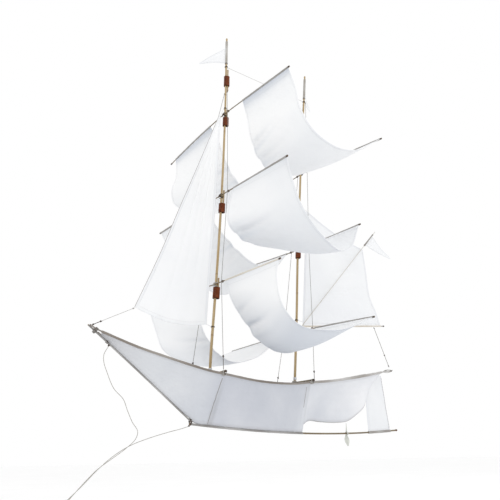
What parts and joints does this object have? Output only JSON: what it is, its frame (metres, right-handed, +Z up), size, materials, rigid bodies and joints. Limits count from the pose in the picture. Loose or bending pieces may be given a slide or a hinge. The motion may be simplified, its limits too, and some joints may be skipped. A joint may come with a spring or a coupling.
{
  "type": "sailing-ship kite",
  "caption": "Flying kite in the shape of a masted sailing ship: bamboo spars, fabric hull and sails, leather locking sleeves, cord rigging and a bridle.",
  "frame": {"origin": "on the centre line of the keel rod where one hand grips it, below the aft mast's fore side; it is the mount keel_grip", "axes": "+X aft along the keel towards the stern, -Y to port, +Y to starboard, +Z up along the masts. Azimuth 0 looks along +Y at the port side with the bow on the left"},
  "size_m": [0.8594, 0.4662, 1.0269],
  "materials": {
    "bamboo": "matte, with nodes and long grain",
    "hemmed_rod": "fabric-covered thin rod",
    "sailcloth": "thin white kite cloth, slightly see-through",
    "hullcloth": "thin white kite cloth",
    "leather": "waxed brown leather",
    "cord": "thin braided cord",
    "dark_binding": "dark cord binding",
    "ribbon": "soft grey ribbon"
  },
  "bodies": {
    "kite": {"keel_rod": "bamboo", "stem_rod": "bamboo", "fore_mast": "bamboo", "aft_mast": "bamboo", "fore_yard_upper": "bamboo", "fore_yard_middle": "bamboo", "fore_yard_lower": "bamboo", "aft_yard_upper": "bamboo", "aft_yard_middle": "bamboo", "aft_yard_lower": "bamboo", "topmast_peg": "bamboo", "sprit": "bamboo", "boom": "bamboo", "gunwale_port": "hemmed_rod", "gunwale_starboard": "hemmed_rod", "fore_deck_spar": "hemmed_rod", "aft_deck_spar": "hemmed_rod", "sail_upper_port": "sailcloth", "sail_upper_starboard": "sailcloth", "sail_middle_port": "sailcloth", "sail_middle_starboard": "sailcloth", "sail_lower_port": "sailcloth", "sail_lower_starboard": "sailcloth", "jib": "sailcloth", "spanker": "sailcloth", "stern_fin": "sailcloth", "hull_main_port": "hullcloth", "hull_main_starboard": "hullcloth", "hull_aft_port": "hullcloth", "hull_aft_starboard": "hullcloth", "bow_lashing": "cord", "forefoot_lashing": "cord", "stern_lashing": "cord", "fore_yard_upper_lashing": "cord", "fore_yard_middle_lashing": "cord", "fore_yard_lower_lashing": "cord", "aft_yard_upper_lashing": "cord", "aft_yard_middle_lashing": "cord", "aft_yard_lower_lashing": "cord", "jib_tack_line": "cord", "spanker_sheet": "cord", "fore_shroud_port": "cord", "fore_shroud_starboard": "cord", "aft_shroud_port": "cord", "aft_shroud_starboard": "cord", "topmast_stay": "cord", "bridle_bow_leg": "cord", "bridle_keel_leg": "cord", "tow_knot": "cord", "keel_end_cap": "dark_binding"},
    "sleeve_top": {"fore_sleeve_top": "leather"},
    "sleeve_upper": {"fore_sleeve_upper": "leather"},
    "sleeve_middle": {"fore_sleeve_middle": "leather"},
    "sleeve_lower": {"fore_sleeve_lower": "leather"},
    "sleeve_aft": {"aft_sleeve_middle": "leather"},
    "flag_fore": {"fore_pennant": "sailcloth"},
    "flag_aft": {"aft_pennant": "sailcloth"},
    "flag_sprit": {"sprit_pennant": "sailcloth"},
    "tag": {"ribbon_tag": "ribbon"}
  },
  "joints": [
    {"name": "sleeve_top_slide", "type": "slide", "parent": "kite", "child": "sleeve_top", "axis": [0.0241, 0, 0.9997], "range_m": [-0.006, 0.02]},
    {"name": "sleeve_upper_slide", "type": "slide", "parent": "kite", "child": "sleeve_upper", "axis": [0.0403, 0, 0.9992], "range_m": [-0.018, 0]},
    {"name": "sleeve_middle_slide", "type": "slide", "parent": "kite", "child": "sleeve_middle", "axis": [0.0649, 0, 0.9979], "range_m": [-0.018, 0]},
    {"name": "sleeve_lower_slide", "type": "slide", "parent": "kite", "child": "sleeve_lower", "axis": [0.0799, 0, 0.9968], "range_m": [-0.018, 0]},
    {"name": "sleeve_aft_slide", "type": "slide", "parent": "kite", "child": "sleeve_aft", "axis": [0.1046, 0, 0.9945], "range_m": [-0.015, 0]},
    {"name": "fore_pennant_turn", "type": "hinge", "parent": "kite", "child": "flag_fore", "pos_m": [-0.15205, 0, 0.814], "axis": [0.0273, 0, 0.9996], "range_deg": [-150, 150]},
    {"name": "aft_pennant_turn", "type": "hinge", "parent": "kite", "child": "flag_aft", "pos_m": [0.10726, 0, 0.836], "axis": [0.1142, 0, 0.9935], "continuous": true},
    {"name": "sprit_pennant_turn", "type": "hinge", "parent": "kite", "child": "flag_sprit", "pos_m": [0.29676, -0.0046, 0.46562], "axis": [0.7102, 0, 0.704], "continuous": true},
    {"name": "ribbon_tag_swing", "type": "hinge", "parent": "kite", "child": "tag", "pos_m": [0.174, 0, 0.00123], "axis": [1, 0, 0], "range_deg": [-75, 75]}
  ]
}
